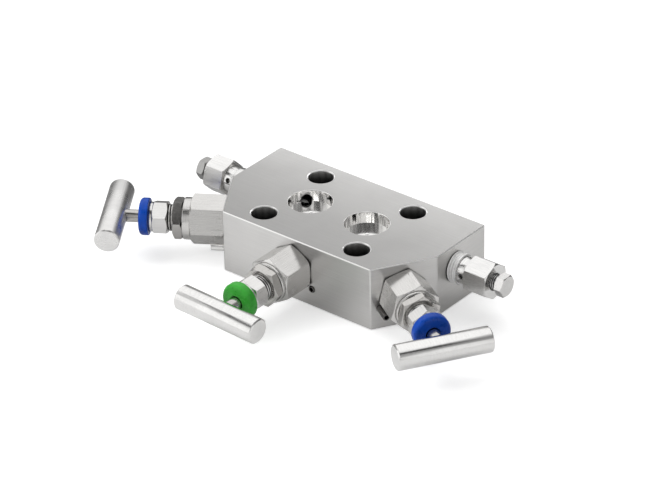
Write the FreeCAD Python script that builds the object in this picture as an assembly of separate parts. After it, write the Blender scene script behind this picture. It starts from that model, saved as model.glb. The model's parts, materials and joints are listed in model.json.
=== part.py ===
"""Three-valve instrument manifold: a flat hexagonal block with two isolating valves,
one equalising valve and two vent valves. Millimetres, +Z up. The origin is the centre
of the four-bolt pattern on the top face."""

import FreeCAD, Part
import math
import os

Vector = FreeCAD.Vector
UP = Vector(0, 0, 1)
CENTRE = Vector(0, 0, 0)

# The block, seen from above: a long back edge, a shorter front edge and two slanted ends.
back_edge_length = 120.0
front_edge_length = 86.0
back_edge_y = 31.3
front_edge_y = -31.4
slanted_end_back_y = -4.3
block_thickness = 31.4
edge_break = 0.4

# The four through bolts of the transmitter, and the two pockets for its seals.
bolt_spacing_x = 54.0
bolt_spacing_y = 41.3
bolt_hole_r = 6.0
bolt_rim_bevel = 0.5
pocket_spacing = 33.0
pocket_r = 10.5
pocket_depth = 5.8
pocket_rim_bevel = 0.2
pocket_mark_r = 0.9
pocket_mark_depth = 0.7

# The two threaded process ports in the underside, and the riser above each.
process_port_spacing = 54.0
process_port_r = 9.13
process_port_depth = 15.0
process_port_mouth_r = 10.9
riser_r = 3.5
riser_above_valve_axis = 2.6
riser_from_end_face = 26.0

# The drilled passages that join pockets, vents and valves.
pocket_drill_r = 2.6
pocket_drill_bearing = 39.8
gallery_r = 2.0
gallery_inner_x = 27.0
chamber_link_r = 1.8
equalize_link_r = 1.6
equalize_link_x = 13.0
equalize_link_y = -7.5
equalize_orifice_depth = 24.0
equalize_link_depth = 22.5
drill_overrun = 3.0

# Where the valves and vents enter the block.
valve_axis_z = -14.2
vent_axis_y = 9.3
vent_axis_z = -11.4

# Clearances: fixed threads and spigots, turning or sliding parts, and parts that only pass by.
thread_gap = 0.05
running_gap = 0.05
free_gap = 0.3

# The bonnet, which screws into the block and holds the packing.
bonnet_thread_r = 8.0
bonnet_thread_length = 13.0
bonnet_flats = 20.6
bonnet_hex_length = 17.0
bonnet_cavity_r = 4.0
packing_chamber_r = 5.0
packing_floor = -1.9
adjuster_thread_start = 11.0
corner_bevel_angle = 30.0
corner_bevel_share = 0.97

# The seat in the block and the tip that closes on it.
seat_chamber_r = 5.0
seat_chamber_depth = 15.0
seat_orifice_r = 1.6
tip_ball_r = 3.0
tip_flat_height = 2.2
tip_stub_r = 1.5
tip_stub_length = 3.0
seat_gap = 0.03

# The stem, its thread in the packing adjuster and its back seat.
stem_r = 3.0
stem_head_r = 3.6
stem_head_length = 4.0
stem_thread_r = 4.0
stem_thread_start = 14.0
stem_thread_length = 17.5
stem_thread_runout = 1.0
stem_thread_pitch = 1.25
turns_to_open = 3.5

# The packing: soft rings between two washers, squeezed by the adjuster's nose.
washer_thickness = 1.0
packing_ring_count = 3

# The packing adjuster, its lock nut and the coloured dust cap.
adjuster_thread_r = 6.05
adjuster_thread_length = 14.2
adjuster_nose_length = 4.9
adjuster_stem_thread_depth = 14.5
adjuster_flats = 14.3
adjuster_hex_length = 7.2
adjuster_boss_r = 7.0
adjuster_boss_length = 2.3
lock_nut_flats = 17.4
lock_nut_height = 4.8
cap_r = 8.8
cap_skirt = 0.5
cap_height = 3.8
cap_hole_r = 3.3
cap_cavity_depth = 2.2
cap_edge_round = 1.7
cap_back_round = 0.5
cap_hole_round = 0.5
cap_dome_rise = 0.4

# The cross handle and the screw that holds it on the stem.
handle_r = 6.0
handle_length = 44.4
handle_edge_bevel = 0.6
handle_closed_height = 50.2
stem_past_handle_axis = 3.0
set_screw_r = 2.0
set_screw_recess = 0.4
set_screw_socket_flats = 2.0
set_screw_socket_depth = 1.6
stem_flat_depth = 0.4

# The rolled spring pin beside each bonnet that stops it from unscrewing.
lock_pin_r = 1.7
lock_pin_bore_r = 1.0
lock_pin_sunk = 6.0
lock_pin_bevel = 0.3

# The vent valves: a threaded body, a ball on a seat and the bleed screw that holds it shut.
vent_thread_r = 6.9
vent_thread_taper = 1 / 32
vent_thread_sunk = 9.5
vent_thread_shown = 5.1
vent_neck_r = 6.35
vent_neck_length = 4.7
vent_flats = 15.8
vent_bevel_share = 1.03
vent_mouth_r = 4.4
vent_orifice_r = 1.5
vent_seat_height = 1.0
vent_chamber_r = 3.0
vent_chamber_length = 6.5
vent_ball_r = 2.4
vent_outlet_r = 1.25
vent_outlet_height = 7.4
bleed_thread_r = 3.2
bleed_thread_start = 9.8
bleed_thread_pitch = 1.0
bleed_nose_r = 2.6
bleed_head_flats = 9.6
bleed_head_length = 4.2
tape_thickness = 0.35
tape_margin = 0.25

# How each valve differs. The shift is its axis's distance along the face from the middle,
# the collar is how far the bonnet's round end stands past its hexagon, with its radius, and
# the neck is the thread left bare between lock nut and adjuster. Angles turn about the axis from level: the
# corners of the hexagons and the handle's slant. The lift is how far the valve stands open.
# The pin's place is across and up from the axis, with how far it stands out of the block.
VALVES = {
    "isolate_left": {"shift": 0.35, "collar": 3.5, "collar_r": 9.9, "neck": 2.5, "bonnet_turn": 51.0,
                     "nut_turn": 11.9, "adjuster_turn": 24.1, "handle_slant": -3.0, "lift": 3.3,
                     "pin_across": 10.8, "pin_up": -8.3, "pin_standing": 6.9},
    "isolate_right": {"shift": -0.6, "collar": 1.5, "collar_r": 9.5, "neck": 2.1, "bonnet_turn": 16.0,
                      "nut_turn": 18.3, "adjuster_turn": 31.7, "handle_slant": 0.0, "lift": 0.7,
                      "pin_across": -10.8, "pin_up": -6.7, "pin_standing": 8.5},
    "equalize": {"shift": -1.55, "collar": 1.5, "collar_r": 9.5, "neck": 3.1, "bonnet_turn": 30.0,
                 "nut_turn": 51.4, "adjuster_turn": 39.6, "handle_slant": -2.1, "lift": 1.1,
                 "pin_across": 10.8, "pin_up": -8.2, "pin_standing": 0.6},
}

# How each vent differs: how much further out it stands, its hexagon's length, the bare neck
# of its bleed screw, its turns as above and the bearing of its side outlet.
VENTS = {
    "vent_left": {"side": -1, "stand_out": 2.3, "hex_length": 10.9, "screw_neck": 2.9, "hex_turn": 46.0,
                  "head_turn": 0.0, "outlet_angle": 22.0, "taped": False},
    "vent_right": {"side": 1, "stand_out": 0.0, "hex_length": 12.3, "screw_neck": 2.7, "hex_turn": 25.5,
                   "head_turn": 0.0, "outlet_angle": 177.0, "taped": True},
}

# Heights along a valve's axis, from the block's face outwards, that follow from the above.
full_travel = turns_to_open * stem_thread_pitch
seat_apex = -(seat_chamber_depth + seat_chamber_r)
ball_closed_height = seat_apex + (tip_ball_r + seat_gap) * math.sqrt(2)
stem_closed_start = ball_closed_height + tip_flat_height + running_gap
back_seat = stem_closed_start + stem_head_length + full_travel + running_gap
vent_seat_apex = vent_seat_height - vent_orifice_r
vent_ball_height = vent_seat_apex + (vent_ball_r + seat_gap) * math.sqrt(2)
vent_chamber_start = vent_seat_apex + vent_chamber_r
vent_chamber_end = vent_chamber_start + vent_chamber_length
vent_hex_start = vent_thread_shown + vent_neck_length


def bonnet_top(valve):
    """Height of a bonnet's round end."""
    return bonnet_hex_length + valve["collar"]


def lock_nut_top(valve):
    """Height of a lock nut's outer face."""
    return bonnet_top(valve) + lock_nut_height


def adjuster_hex_start(valve):
    """Height where a packing adjuster's hexagon starts."""
    return lock_nut_top(valve) + valve["neck"]


def adjuster_top(valve):
    """Height of a packing adjuster's outer end."""
    return adjuster_hex_start(valve) + adjuster_hex_length + adjuster_boss_length


def packing_top(valve):
    """Height where the adjuster's nose meets the upper washer."""
    return adjuster_hex_start(valve) - adjuster_thread_length - adjuster_nose_length


def packing_ring_height(valve):
    """Height of one ring, squeezed into the room that is left."""
    return (packing_top(valve) - packing_floor - 2 * washer_thickness) / packing_ring_count


def vent_hex_end(vent):
    """Height of a vent body's outer end."""
    return vent_hex_start + vent["hex_length"]


def turned(profile):
    """Solid of revolution about local Z from (radius, height) corners."""
    points = [Vector(radius, 0, height) for radius, height in profile]
    return Part.Face(Part.makePolygon(points + points[:1])).revolve(CENTRE, UP, 360)


def rod(radius, bottom, top):
    """Plain round bar along local Z."""
    return Part.makeCylinder(radius, top - bottom, Vector(0, 0, bottom))


def drilled_path(radius, start, end):
    """Round hole cutter from one point to another."""
    return Part.makeCylinder(radius, start.distanceToPoint(end), start, end - start)


def hex_prism(flats, bottom, top, turn=0.0):
    """Plain hexagonal bar along local Z, with one corner at the given angle."""
    corner_r = flats / math.sqrt(3)
    corners = []
    for index in range(6):
        angle = math.radians(turn + 60 * index)
        corners.append(Vector(corner_r * math.cos(angle), corner_r * math.sin(angle), bottom))
    return Part.Face(Part.makePolygon(corners + corners[:1])).extrude(UP * (top - bottom))


def hex_bar(flats, bottom, top, turn, bevel_share=corner_bevel_share):
    """Hexagonal bar along local Z with its corners turned away at both ends."""
    face_r = flats / 2 * bevel_share
    outer_r = flats / math.sqrt(3) * 1.1
    drop = (outer_r - face_r) * math.tan(math.radians(corner_bevel_angle))
    envelope = [(0, bottom), (face_r, bottom), (outer_r, bottom + drop),
                (outer_r, top - drop), (face_r, top), (0, top)]
    return hex_prism(flats, bottom, top, turn).common(turned(envelope))


def place(solid, origin, heading):
    """Stand a solid on a point, its local Z along the heading and its local Y upright."""
    rotation = FreeCAD.Rotation(UP.cross(heading), UP, heading, "ZYX")
    solid.Placement = FreeCAD.Placement(origin, rotation).multiply(solid.Placement)
    return solid


def slanted_end(side):
    """Where an isolating valve's axis leaves its slanted end face, and the way out."""
    shift = VALVES["isolate_left" if side < 0 else "isolate_right"]["shift"]
    back = Vector(side * back_edge_length / 2, slanted_end_back_y, valve_axis_z)
    front = Vector(side * front_edge_length / 2, front_edge_y, valve_axis_z)
    along = (back - front).normalize()
    outward = Vector(side * along.y, -abs(along.x), 0)
    return (back + front) * 0.5 + along * shift, outward


def valve_place(name):
    """Where a valve's axis leaves the block, and the way out."""
    if name == "equalize":
        return Vector(VALVES[name]["shift"], front_edge_y, valve_axis_z), Vector(0, -1, 0)
    return slanted_end(-1 if name == "isolate_left" else 1)


def vent_place(name):
    """Where a vent's own heights start on its axis, and the way out."""
    side = VENTS[name]["side"]
    distance = back_edge_length / 2 + VENTS[name]["stand_out"]
    return Vector(side * distance, vent_axis_y, vent_axis_z), Vector(side, 0, 0)


def vent_taper_r(height):
    """Radius of the vent's tapered thread at a height from the block's face."""
    return vent_thread_r - (vent_thread_shown - height) * vent_thread_taper


def block_blank():
    """The hexagonal block before drilling."""
    half_back = back_edge_length / 2
    half_front = front_edge_length / 2
    outline = [Vector(-half_back, back_edge_y, 0), Vector(half_back, back_edge_y, 0),
               Vector(half_back, slanted_end_back_y, 0), Vector(half_front, front_edge_y, 0),
               Vector(-half_front, front_edge_y, 0), Vector(-half_back, slanted_end_back_y, 0)]
    blank = Part.Face(Part.makePolygon(outline + outline[:1])).extrude(UP * -block_thickness)
    return blank.makeChamfer(edge_break, blank.Edges)


def bolt_hole_cutters():
    """Four through holes with bevelled rims."""
    rim_r = bolt_hole_r + bolt_rim_bevel
    bottom = -block_thickness
    profile = [(0, 1), (rim_r, 1), (rim_r, 0), (bolt_hole_r, -bolt_rim_bevel),
               (bolt_hole_r, bottom + bolt_rim_bevel), (rim_r, bottom), (rim_r, bottom - 1), (0, bottom - 1)]
    cutters = []
    for side_x in (-1, 1):
        for side_y in (-1, 1):
            hole = turned(profile)
            hole.translate(Vector(side_x * bolt_spacing_x / 2, side_y * bolt_spacing_y / 2, 0))
            cutters.append(hole)
    return cutters


def pocket_cutter(side):
    """Round flat-floored pocket for a seal, with the small mark left by a centre drill."""
    rim_r = pocket_r + pocket_rim_bevel
    floor = -pocket_depth
    cutter = turned([(0, 1), (rim_r, 1), (rim_r, 0), (pocket_r, -pocket_rim_bevel), (pocket_r, floor),
                     (pocket_mark_r, floor), (0, floor - pocket_mark_depth)])
    cutter.translate(Vector(side * pocket_spacing / 2, 0, 0))
    return cutter


def process_port_cutter(side):
    """Threaded port in the underside with a bevelled mouth."""
    bottom = -block_thickness
    mouth_bevel = process_port_mouth_r - process_port_r
    port_floor = bottom + process_port_depth
    cutter = turned([(0, bottom - 1), (process_port_mouth_r, bottom - 1), (process_port_mouth_r, bottom),
                     (process_port_r, bottom + mouth_bevel), (process_port_r, port_floor), (0, port_floor)])
    cutter.translate(Vector(side * process_port_spacing / 2, 0, 0))
    return cutter


def valve_bore_cutter(name):
    """Bonnet thread, seat chamber, seat cone and orifice of one valve, with its lock pin hole."""
    bore_r = bonnet_thread_r + thread_gap
    orifice_end = equalize_orifice_depth if name == "equalize" else riser_from_end_face
    bore = turned([(0, 1), (bore_r, 1), (bore_r, -bonnet_thread_length), (seat_chamber_r, -bonnet_thread_length),
                   (seat_chamber_r, -seat_chamber_depth), (seat_orifice_r, seat_apex + seat_orifice_r),
                   (seat_orifice_r, -orifice_end), (0, -orifice_end)])
    pin_hole = rod(lock_pin_r + thread_gap, -lock_pin_sunk - free_gap, 1)
    pin_hole.translate(Vector(VALVES[name]["pin_across"], VALVES[name]["pin_up"], 0))
    return place(Part.makeCompound([bore, pin_hole]), *valve_place(name))


def vent_bore_cutter(name):
    """Tapered threaded bore for one vent."""
    floor = -vent_thread_sunk - free_gap
    bore = turned([(0, 1), (vent_taper_r(1) + thread_gap, 1), (vent_taper_r(floor) + thread_gap, floor), (0, floor)])
    return place(bore, *vent_place(name))


def passage_cutters(side):
    """Riser, gallery and drillings that join one side's port, valve, pocket and vent."""
    face_point, outward = slanted_end(side)
    riser_foot = face_point - outward * riser_from_end_face
    riser_foot.z = -block_thickness + process_port_depth - drill_overrun
    riser_top = Vector(riser_foot.x, riser_foot.y, valve_axis_z + riser_above_valve_axis)
    vent_point, vent_outward = vent_place("vent_left" if side < 0 else "vent_right")
    gallery_start = vent_point - vent_outward * vent_thread_sunk
    gallery_end = Vector(side * gallery_inner_x, vent_axis_y, vent_axis_z)
    seat_chamber = face_point - outward * seat_chamber_depth

    bearing = math.radians(pocket_drill_bearing)
    away = Vector(side * math.cos(bearing), math.sin(bearing), 0)
    corner = Vector(side * pocket_spacing / 2, 0, -pocket_depth) + away * pocket_r
    slope = away - UP
    drop = -pocket_depth - vent_axis_z
    pocket_drill = drilled_path(pocket_drill_r, corner - slope * (drill_overrun - 1), corner + slope * drop)

    orifice_depth = seat_chamber_depth if side < 0 else equalize_link_depth
    link_end = Vector(VALVES["equalize"]["shift"], front_edge_y + orifice_depth, valve_axis_z)
    link_foot = Vector(side * equalize_link_x, equalize_link_y, -pocket_depth)
    backward = (link_foot - link_end).normalize() * drill_overrun
    return [drilled_path(riser_r, riser_foot, riser_top),
            drilled_path(gallery_r, gallery_start, gallery_end),
            drilled_path(chamber_link_r, gallery_start, seat_chamber),
            pocket_drill,
            drilled_path(equalize_link_r, link_foot + backward, link_end)]


def manifold_body():
    """The drilled block."""
    cutters = bolt_hole_cutters()
    for side in (-1, 1):
        cutters.append(pocket_cutter(side))
        cutters.append(process_port_cutter(side))
        cutters += passage_cutters(side)
    cutters += [valve_bore_cutter(name) for name in VALVES]
    cutters += [vent_bore_cutter(name) for name in VENTS]
    return block_blank().cut(cutters)


def bonnet(valve):
    """Hexagonal bonnet with its threaded spigot, round end and stepped bore."""
    top = bonnet_top(valve)
    hexagon = hex_bar(bonnet_flats, 0, bonnet_hex_length, valve["bonnet_turn"])
    spigot = rod(bonnet_thread_r, -bonnet_thread_length, 1)
    collar_r = valve["collar_r"]
    collar = turned([(0, bonnet_hex_length - 1), (collar_r, bonnet_hex_length - 1),
                     (collar_r, top - edge_break), (collar_r - edge_break, top), (0, top)])
    stem_bore_r = stem_r + running_gap
    adjuster_bore_r = adjuster_thread_r + thread_gap
    bore = turned([(0, -bonnet_thread_length - 1), (bonnet_cavity_r, -bonnet_thread_length - 1),
                   (bonnet_cavity_r, back_seat), (stem_bore_r, back_seat), (stem_bore_r, packing_floor),
                   (packing_chamber_r, packing_floor), (packing_chamber_r, adjuster_thread_start),
                   (adjuster_bore_r, adjuster_thread_start), (adjuster_bore_r, top + 1), (0, top + 1)])
    return hexagon.fuse([spigot, collar]).cut(bore)


def packing_part(bottom, height):
    """One ring in the packing chamber around the stem."""
    outer = rod(packing_chamber_r - thread_gap, bottom, bottom + height)
    return outer.cut(rod(stem_r + running_gap, bottom - 1, bottom + height + 1))


def packing_rings(valve):
    """The stack of soft packing rings."""
    first = packing_floor + washer_thickness
    height = packing_ring_height(valve)
    return Part.makeCompound([packing_part(first + index * height, height) for index in range(packing_ring_count)])


def gland_washers(valve):
    """The washers below and above the packing."""
    return Part.makeCompound([packing_part(packing_floor, washer_thickness),
                              packing_part(packing_top(valve) - washer_thickness, washer_thickness)])


def lock_nut(valve):
    """Thin nut that locks the packing adjuster against the bonnet."""
    bottom = bonnet_top(valve)
    top = lock_nut_top(valve)
    nut = hex_bar(lock_nut_flats, bottom, top, valve["nut_turn"])
    return nut.cut(rod(adjuster_thread_r + thread_gap, bottom - 1, top + 1))


def packing_adjuster(valve):
    """Threaded bush that presses the packing and carries the stem's thread."""
    nose = packing_top(valve)
    hex_start = adjuster_hex_start(valve)
    hex_end = hex_start + adjuster_hex_length
    top = adjuster_top(valve)
    thread_start = hex_start - adjuster_thread_length
    nose_r = packing_chamber_r - thread_gap
    shank = turned([(0, nose), (nose_r, nose), (nose_r, thread_start), (adjuster_thread_r, thread_start),
                    (adjuster_thread_r, hex_start + 1), (0, hex_start + 1)])
    hexagon = hex_bar(adjuster_flats, hex_start, hex_end, valve["adjuster_turn"])
    boss = rod(adjuster_boss_r, hex_end - 1, top)
    guide_r = stem_r + running_gap
    thread_bore_r = stem_thread_r + running_gap
    thread_bore_start = hex_start - adjuster_stem_thread_depth
    bore = turned([(0, nose - 1), (guide_r, nose - 1), (guide_r, thread_bore_start),
                   (thread_bore_r, thread_bore_start), (thread_bore_r, top + 1), (0, top + 1)])
    return hexagon.fuse([shank, boss]).cut(bore)


def rim_edges(shape, radius, height):
    """The round edge of a turned piece with a given radius and height."""
    return [edge for edge in shape.Edges if edge.BoundBox.ZLength < 0.001
            and abs(edge.BoundBox.ZMin - height) < 0.001 and abs(edge.BoundBox.XMax - radius) < 0.001]


def dust_cap(valve):
    """Moulded cap over the adjuster's boss, with rounded edges, a domed face and a stem hole."""
    seat = adjuster_top(valve)
    bottom = seat - cap_skirt
    top = seat + cap_height
    hole_top = top + cap_dome_rise
    blank = turned([(cap_hole_r, bottom), (cap_r, bottom), (cap_r, top), (cap_hole_r, hole_top)])
    blank = blank.makeFillet(cap_edge_round, rim_edges(blank, cap_r, top))
    blank = blank.makeFillet(cap_back_round, rim_edges(blank, cap_r, bottom))
    blank = blank.makeFillet(cap_hole_round, rim_edges(blank, cap_hole_r, hole_top))
    recess = rod(adjuster_boss_r + thread_gap, bottom - 1, seat)
    cavity = rod(stem_thread_r + running_gap + free_gap, seat - 1, seat + cap_cavity_depth)
    return blank.cut([recess, cavity])


def ball_tip(valve):
    """Closing tip: a ball with a flat back and a stub that sits in the stem's socket."""
    centre_height = ball_closed_height + valve["lift"]
    flat = centre_height + tip_flat_height
    flat_r = math.sqrt(tip_ball_r ** 2 - tip_flat_height ** 2)
    stub_top = flat + tip_stub_length
    arc = Part.Arc(Vector(0, 0, centre_height - tip_ball_r), Vector(tip_ball_r, 0, centre_height),
                   Vector(flat_r, 0, flat)).toShape()
    back = Part.makePolygon([Vector(flat_r, 0, flat), Vector(tip_stub_r, 0, flat), Vector(tip_stub_r, 0, stub_top),
                             Vector(0, 0, stub_top), Vector(0, 0, centre_height - tip_ball_r)])
    return Part.Face(Part.Wire([arc] + back.Edges)).revolve(CENTRE, UP, 360)


def stem(valve):
    """Threaded stem with a back-seating head, a socket for the tip and a flat for the set screw."""
    lift = valve["lift"]
    start = stem_closed_start + lift
    head_end = start + stem_head_length
    thread_start = stem_thread_start + lift
    thread_end = thread_start + stem_thread_length
    handle_axis = handle_closed_height + lift
    end = handle_axis + stem_past_handle_axis
    socket_r = tip_stub_r + running_gap
    socket_end = start + tip_stub_length + free_gap
    blank = turned([(socket_r, start), (stem_head_r, start), (stem_head_r, head_end), (stem_r, head_end),
                    (stem_r, thread_start), (stem_thread_r, thread_start + stem_thread_runout),
                    (stem_thread_r, thread_end - stem_thread_runout), (stem_r, thread_end), (stem_r, end),
                    (0, end), (0, socket_end), (socket_r, socket_end)])
    flat = Part.makeBox(2 * stem_r, stem_r, 2 * set_screw_r + free_gap,
                        Vector(-stem_r, stem_flat_depth - 2 * stem_r, handle_axis - set_screw_r - free_gap / 2))
    return turn_with_handle(blank.cut(flat), valve)


def turn_with_handle(solid, valve):
    """Turn a piece of the stem about the valve's axis to its handle's slant."""
    solid.rotate(CENTRE, UP, valve["handle_slant"])
    return solid


def handle_bar(valve):
    """Round cross bar, bored for the stem and drilled from below for its set screw."""
    half = handle_length / 2
    bevelled_r = handle_r - handle_edge_bevel
    bar = turned([(0, -half), (bevelled_r, -half), (handle_r, handle_edge_bevel - half),
                  (handle_r, half - handle_edge_bevel), (bevelled_r, half), (0, half)])
    bar.rotate(CENTRE, Vector(0, 1, 0), 90)
    axis_height = handle_closed_height + valve["lift"]
    bar.translate(UP * axis_height)
    stem_bore = rod(stem_r + thread_gap, axis_height - handle_r - 1, axis_height + stem_past_handle_axis + thread_gap)
    screw_bore = Part.makeCylinder(set_screw_r + thread_gap, handle_r + 1, Vector(0, 0, axis_height), Vector(0, -1, 0))
    return turn_with_handle(bar.cut([stem_bore, screw_bore]), valve)


def handle_set_screw(valve):
    """Socket screw from the handle's underside onto the stem's flat."""
    axis_height = handle_closed_height + valve["lift"]
    outer_end = handle_r - set_screw_recess
    inner_end = stem_r - stem_flat_depth
    screw = rod(set_screw_r, inner_end, outer_end)
    screw = screw.cut(hex_prism(set_screw_socket_flats, outer_end - set_screw_socket_depth, outer_end + 1))
    screw.rotate(CENTRE, Vector(1, 0, 0), 90)
    screw.translate(UP * axis_height)
    return turn_with_handle(screw, valve)


def bonnet_lock_pin(valve):
    """Hollow spring pin pressed into the block beside the bonnet."""
    end = valve["pin_standing"]
    pin = turned([(lock_pin_bore_r, -lock_pin_sunk), (lock_pin_r, -lock_pin_sunk), (lock_pin_r, end - lock_pin_bevel),
                  (lock_pin_r - lock_pin_bevel, end), (lock_pin_bore_r, end)])
    pin.translate(Vector(valve["pin_across"], valve["pin_up"], 0))
    return pin


def vent_body(vent):
    """Vent body with a tapered thread, a hexagon, an inner seat and a side outlet."""
    inner_end = -vent_thread_sunk
    shank = turned([(0, inner_end), (vent_taper_r(inner_end), inner_end), (vent_thread_r, vent_thread_shown),
                    (vent_neck_r, vent_thread_shown), (vent_neck_r, vent_hex_start + 1), (0, vent_hex_start + 1)])
    top = vent_hex_end(vent)
    hexagon = hex_bar(vent_flats, vent_hex_start, top, vent["hex_turn"], vent_bevel_share)
    bore_r = bleed_thread_r + running_gap
    mouth_depth = vent_mouth_r - bore_r
    bore = turned([(0, inner_end - 1), (vent_orifice_r, inner_end - 1), (vent_orifice_r, vent_seat_height),
                   (vent_chamber_r, vent_chamber_start), (vent_chamber_r, vent_chamber_end),
                   (bore_r, vent_chamber_end), (bore_r, top - mouth_depth), (vent_mouth_r, top),
                   (vent_mouth_r, top + 1), (0, top + 1)])
    outlet = Part.makeCylinder(vent_outlet_r, vent_neck_r + 1, Vector(0, 0, vent_outlet_height), Vector(1, 0, 0))
    outlet.rotate(CENTRE, UP, vent["outlet_angle"])
    return hexagon.fuse(shank).cut([bore, outlet])


def vent_ball(vent):
    """Loose ball that closes the vent's seat."""
    return Part.makeSphere(vent_ball_r, Vector(0, 0, vent_ball_height))


def bleed_screw(vent):
    """Screw with a nose that holds the ball down and a small hexagonal head."""
    nose = vent_ball_height + vent_ball_r + running_gap
    head_start = vent_hex_end(vent) + vent["screw_neck"]
    shank = turned([(0, nose), (bleed_nose_r, nose), (bleed_nose_r, bleed_thread_start),
                    (bleed_thread_r, bleed_thread_start), (bleed_thread_r, head_start + 1), (0, head_start + 1)])
    head = hex_bar(bleed_head_flats, head_start, head_start + bleed_head_length, vent["head_turn"])
    return head.fuse(shank)


def thread_tape(vent):
    """Sealing tape around the stretch of thread that shows."""
    bottom = tape_margin
    top = vent_thread_shown - tape_margin
    return turned([(vent_taper_r(bottom) + thread_gap, bottom), (vent_taper_r(bottom) + tape_thickness, bottom),
                   (vent_taper_r(top) + tape_thickness, top), (vent_taper_r(top) + thread_gap, top)])


def export(node, shape):
    """Write one node."""
    shape.exportStep("parts/" + node + ".step")


VALVE_PIECES = {"bonnet": bonnet, "gland_washers": gland_washers, "packing_rings": packing_rings,
                "packing_adjuster": packing_adjuster, "lock_nut": lock_nut, "dust_cap": dust_cap,
                "ball_tip": ball_tip, "stem": stem, "handle_bar": handle_bar,
                "handle_set_screw": handle_set_screw, "bonnet_lock_pin": bonnet_lock_pin}
VENT_PIECES = {"body": vent_body, "ball": vent_ball, "bleed_screw": bleed_screw}

os.makedirs("parts", exist_ok=True)
export("manifold_body", manifold_body())
for valve_name, valve_data in VALVES.items():
    for piece_name, make_piece in VALVE_PIECES.items():
        export(valve_name + "_" + piece_name, place(make_piece(valve_data), *valve_place(valve_name)))
for vent_name, vent_data in VENTS.items():
    for piece_name, make_piece in VENT_PIECES.items():
        export(vent_name + "_" + piece_name, place(make_piece(vent_data), *vent_place(vent_name)))
    if vent_data["taped"]:
        export(vent_name + "_thread_tape", place(thread_tape(vent_data), *vent_place(vent_name)))
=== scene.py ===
"""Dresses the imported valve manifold: metal, plastic and tape materials, visible threads,
sealing tape, the floor, the studio light and the camera."""

import json
import math

import bpy
from mathutils import Matrix, Vector, noise


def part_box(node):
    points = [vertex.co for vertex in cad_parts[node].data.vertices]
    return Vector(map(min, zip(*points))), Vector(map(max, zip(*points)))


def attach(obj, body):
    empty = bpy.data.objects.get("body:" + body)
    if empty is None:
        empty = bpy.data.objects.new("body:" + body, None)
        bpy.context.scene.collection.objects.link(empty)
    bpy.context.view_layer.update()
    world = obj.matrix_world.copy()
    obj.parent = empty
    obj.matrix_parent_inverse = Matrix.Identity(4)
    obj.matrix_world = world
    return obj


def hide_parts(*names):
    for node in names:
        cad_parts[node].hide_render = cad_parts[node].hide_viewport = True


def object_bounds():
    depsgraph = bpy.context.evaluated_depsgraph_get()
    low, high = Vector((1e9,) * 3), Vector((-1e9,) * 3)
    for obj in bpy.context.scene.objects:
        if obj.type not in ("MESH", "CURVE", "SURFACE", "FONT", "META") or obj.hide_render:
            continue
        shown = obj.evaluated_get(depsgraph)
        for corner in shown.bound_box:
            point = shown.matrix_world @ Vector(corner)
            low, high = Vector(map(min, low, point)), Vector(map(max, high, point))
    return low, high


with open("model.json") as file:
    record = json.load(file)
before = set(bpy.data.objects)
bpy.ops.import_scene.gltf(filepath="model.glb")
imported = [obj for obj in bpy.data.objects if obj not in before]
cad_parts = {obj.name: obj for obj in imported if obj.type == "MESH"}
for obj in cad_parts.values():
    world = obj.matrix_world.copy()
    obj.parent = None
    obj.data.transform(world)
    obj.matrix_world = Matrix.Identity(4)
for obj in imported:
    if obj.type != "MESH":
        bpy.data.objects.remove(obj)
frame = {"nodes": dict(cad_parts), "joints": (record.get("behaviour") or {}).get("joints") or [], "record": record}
NODES = frame["nodes"]
RECORD = frame["record"]
cad_low, cad_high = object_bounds()

MM = 0.001
UP = Vector((0, 0, 1))
VALVES = ("isolate_left", "isolate_right", "equalize")
VENTS = ("vent_left", "vent_right")

# Colours, in linear light, and the painted shade that makes the block's top darker than its sides.
BLOCK_STEEL = (0.68, 0.672, 0.660)
BLOCK_TOP_SHADE = 0.45
# The near-white painted highlight on the block's rounded edges.
EDGE_HIGHLIGHT = (0.97, 0.965, 0.955)
TURNED_STEEL = (0.70, 0.692, 0.680)
POLISHED_STEEL = (0.78, 0.773, 0.762)
BONNET_STEEL = (0.645, 0.635, 0.620)
NUT_STEEL = (0.53, 0.516, 0.498)
WORN_STEEL = (0.36, 0.357, 0.350)
DARK_STEEL = (0.035, 0.034, 0.033)
PIN_STEEL = (0.13, 0.125, 0.12)
CAP_BLUE = (0.001, 0.052, 0.36)
CAP_GREEN = (0.042, 0.345, 0.038)
TAPE_WHITE = (0.94, 0.938, 0.928)
PACKING_DULL = (0.70, 0.69, 0.66)
PACKING_PALE = (0.82, 0.81, 0.79)
FLOOR_WHITE = (0.78, 0.78, 0.78)
# Painted shade on the floor behind the object.
FLOOR_SHADE_BEHIND = (0.12, 0.12, 0.12)

# Machining marks, in marks per millimetre: along the grain, and across it on the block's top,
# on its sides and on the pocket floors, then the same for turned pieces and their drawn flats.
GRAIN_ALONG = 0.03
GRAIN_ACROSS_TOP = 3.0
GRAIN_ACROSS_SIDE = 3.2
POCKET_RINGS = 3.0
TURNED_RINGS = 4.0
DRAWN_ALONG = 0.12
DRAWN_ACROSS = 3.5

# How deep the surfaces' fine marks are, in millimetres, and the share of the block's depth
# that its pockets have.
BLOCK_MARKS = 0.004
POCKET_MARKS_SHARE = 0.3
TURNED_MARKS = 0.0022
THREAD_MARKS = 0.0012
PLASTIC_MARKS = 0.012
TAPE_MARKS = 0.04
PACKING_MARKS = 0.02

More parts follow.
